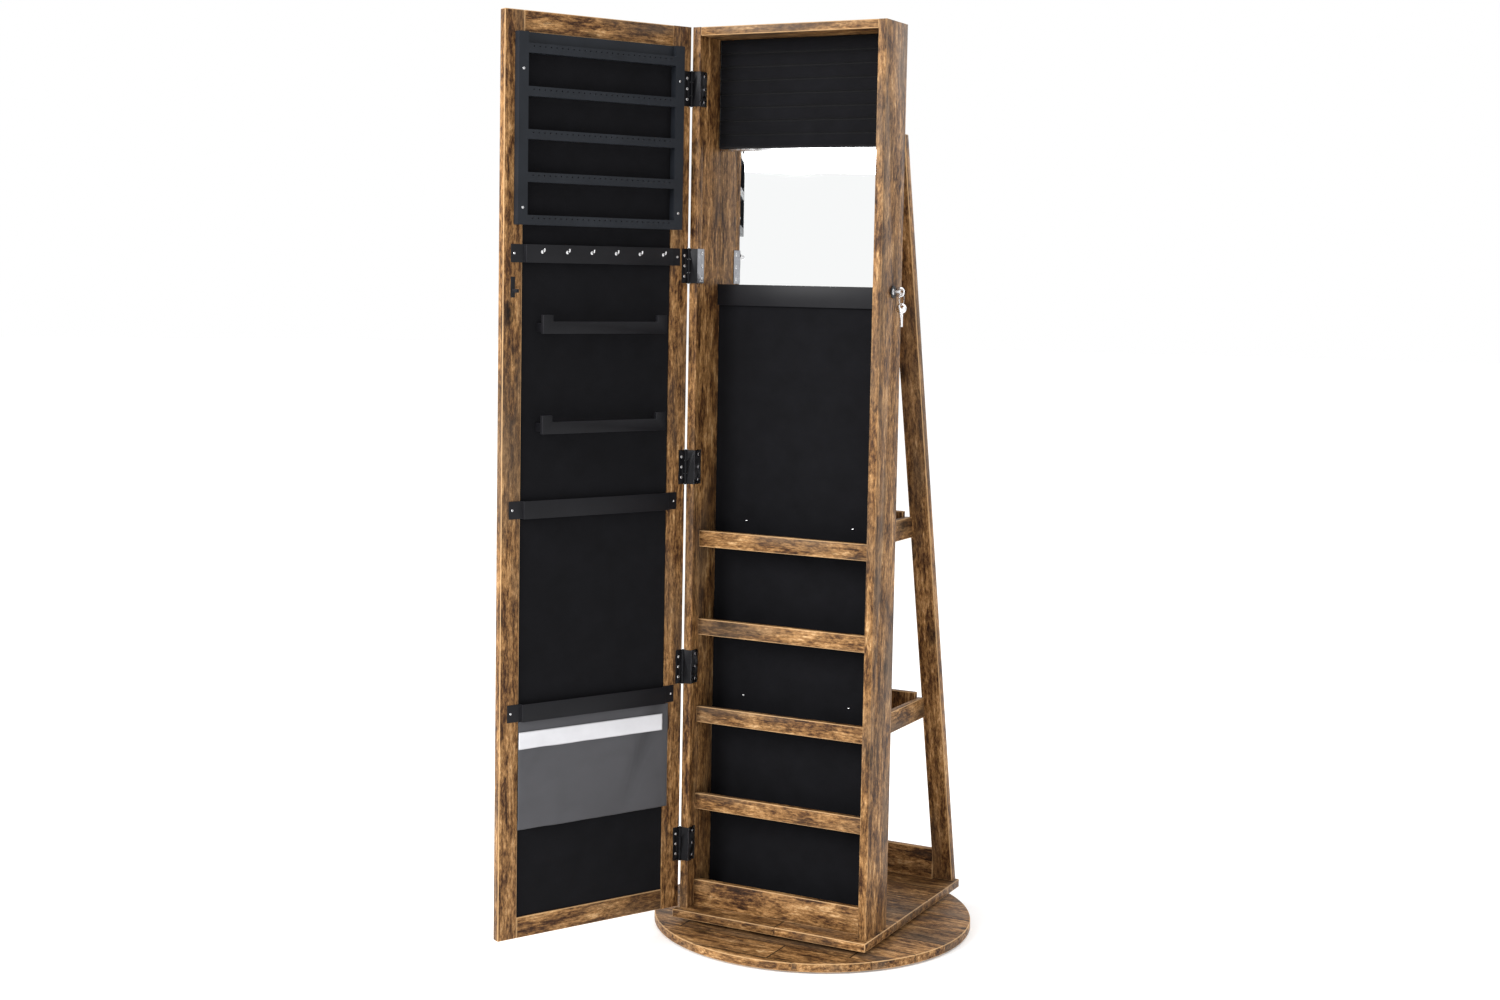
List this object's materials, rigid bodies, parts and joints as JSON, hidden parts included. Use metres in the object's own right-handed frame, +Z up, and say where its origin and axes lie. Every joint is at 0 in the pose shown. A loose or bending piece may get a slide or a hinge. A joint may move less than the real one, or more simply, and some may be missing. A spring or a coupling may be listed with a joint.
{
  "type": "standing jewelry armoire",
  "caption": "Shallow standing jewelry cabinet with a full-length mirror door, velvet inside with rack, bars, mirror and shelves, shelf frame behind, on a round swivel base",
  "frame": {"origin": "on the floor under the middle of the round base", "axes": "+X to the viewer's right in front of the cabinet, +Y to the back, +Z up"},
  "size_m": [0.6516, 0.7864, 1.6],
  "materials": {
    "rustic_wood": "printed rustic wood grain, satin",
    "dark_velvet": "short black velvet pile",
    "mirror_glass": "silvered glass",
    "bright_steel": "bright plated steel",
    "dark_rack": "satin charcoal paint",
    "dark_metal": "satin black paint",
    "hinge_metal": "dark bronzed steel",
    "foot_pad": "matt black",
    "cage_plastic": "natural nylon",
    "grey_film": "sheer grey cloth",
    "white_band": "white woven tape"
  },
  "bodies": {
    "base": {"base_disc": "rustic_wood", "foot_pads": "foot_pad", "bearing_lower_plate": "bright_steel", "bearing_lower_screws": "bright_steel"},
    "ball_set": {"ball_cage": "cage_plastic", "bearing_balls": "bright_steel"},
    "cabinet": {"bearing_upper_plate": "bright_steel", "platform": "rustic_wood", "left_board": "rustic_wood", "right_board": "rustic_wood", "top_board": "rustic_wood", "bottom_board": "dark_velvet", "bottom_rail": "rustic_wood", "back_panel": "rustic_wood", "velvet_lining": "dark_velvet", "ring_cushion": "dark_velvet", "inner_mirror": "mirror_glass", "mirror_trim": "bright_steel", "necklace_bar": "dark_metal", "shelf_1": "dark_velvet", "shelf_2": "dark_velvet", "shelf_3": "dark_velvet", "shelf_4": "dark_velvet", "shelf_lip_1": "rustic_wood", "shelf_lip_2": "rustic_wood", "shelf_lip_3": "rustic_wood", "shelf_lip_4": "rustic_wood", "rear_leg_left": "rustic_wood", "rear_leg_right": "rustic_wood", "rear_shelf_upper": "rustic_wood", "rear_shelf_lower": "rustic_wood", "upper_side_fences": "rustic_wood", "lower_side_fences": "rustic_wood", "rear_shelf_rails": "rustic_wood", "rear_foot_rail": "rustic_wood", "cabinet_hinge_leaves": "hinge_metal", "hinge_pins": "bright_steel", "cabinet_screws": "bright_steel", "lock_barrel": "dark_metal"},
    "lock": {"lock_plug": "bright_steel", "lock_cam": "bright_steel"},
    "key_in_lock": {"key": "bright_steel"},
    "ring": {"key_ring": "bright_steel"},
    "hanging_key": {"spare_key": "bright_steel"},
    "door": {"door_stile_hinge": "rustic_wood", "door_stile_free": "rustic_wood", "door_rail_top": "rustic_wood", "door_rail_bottom": "rustic_wood", "door_mirror": "mirror_glass", "door_panel": "dark_velvet", "earring_rack": "dark_rack", "hook_bar": "dark_metal", "bar_hooks": "bright_steel", "bracelet_bars": "dark_metal", "plain_bars": "dark_metal", "pouch": "grey_film", "pouch_band": "white_band", "door_hinge_leaves": "hinge_metal", "door_screws": "bright_steel", "lock_strike": "dark_metal"}
  },
  "joints": [
    {"name": "swivel_turn", "type": "hinge", "parent": "base", "child": "cabinet", "pos_m": [0, 0, 0.022], "axis": [0, 0, 1], "continuous": true},
    {"name": "race_turn", "type": "hinge", "parent": "base", "child": "ball_set", "pos_m": [0, 0, 0.022], "axis": [0, 0, 1], "continuous": true},
    {"name": "door_swing", "type": "hinge", "parent": "cabinet", "child": "door", "pos_m": [-0.1841, -0.1705, 0.8], "axis": [0, 0, -1], "range_deg": [-116.5, 53.5]},
    {"name": "lock_turn", "type": "hinge", "parent": "cabinet", "child": "lock", "pos_m": [0.183, -0.119, 1.15], "axis": [1, 0, 0], "range_deg": [0, 90]},
    {"name": "key_slide", "type": "slide", "parent": "lock", "child": "key_in_lock", "axis": [1, 0, 0], "range_m": [0, 0.03]},
    {"name": "ring_swing", "type": "hinge", "parent": "key_in_lock", "child": "ring", "pos_m": [0.1993, -0.119, 1.14815], "axis": [0, -1, 0], "range_deg": [-8, 60]},
    {"name": "spare_key_swing", "type": "hinge", "parent": "ring", "child": "hanging_key", "pos_m": [0.1993, -0.119, 1.12815], "axis": [0, -1, 0], "range_deg": [-6, 40]}
  ],
  "couplings": [
    {"joint": "race_turn", "follows": "swivel_turn", "ratio": 0.5}
  ]
}
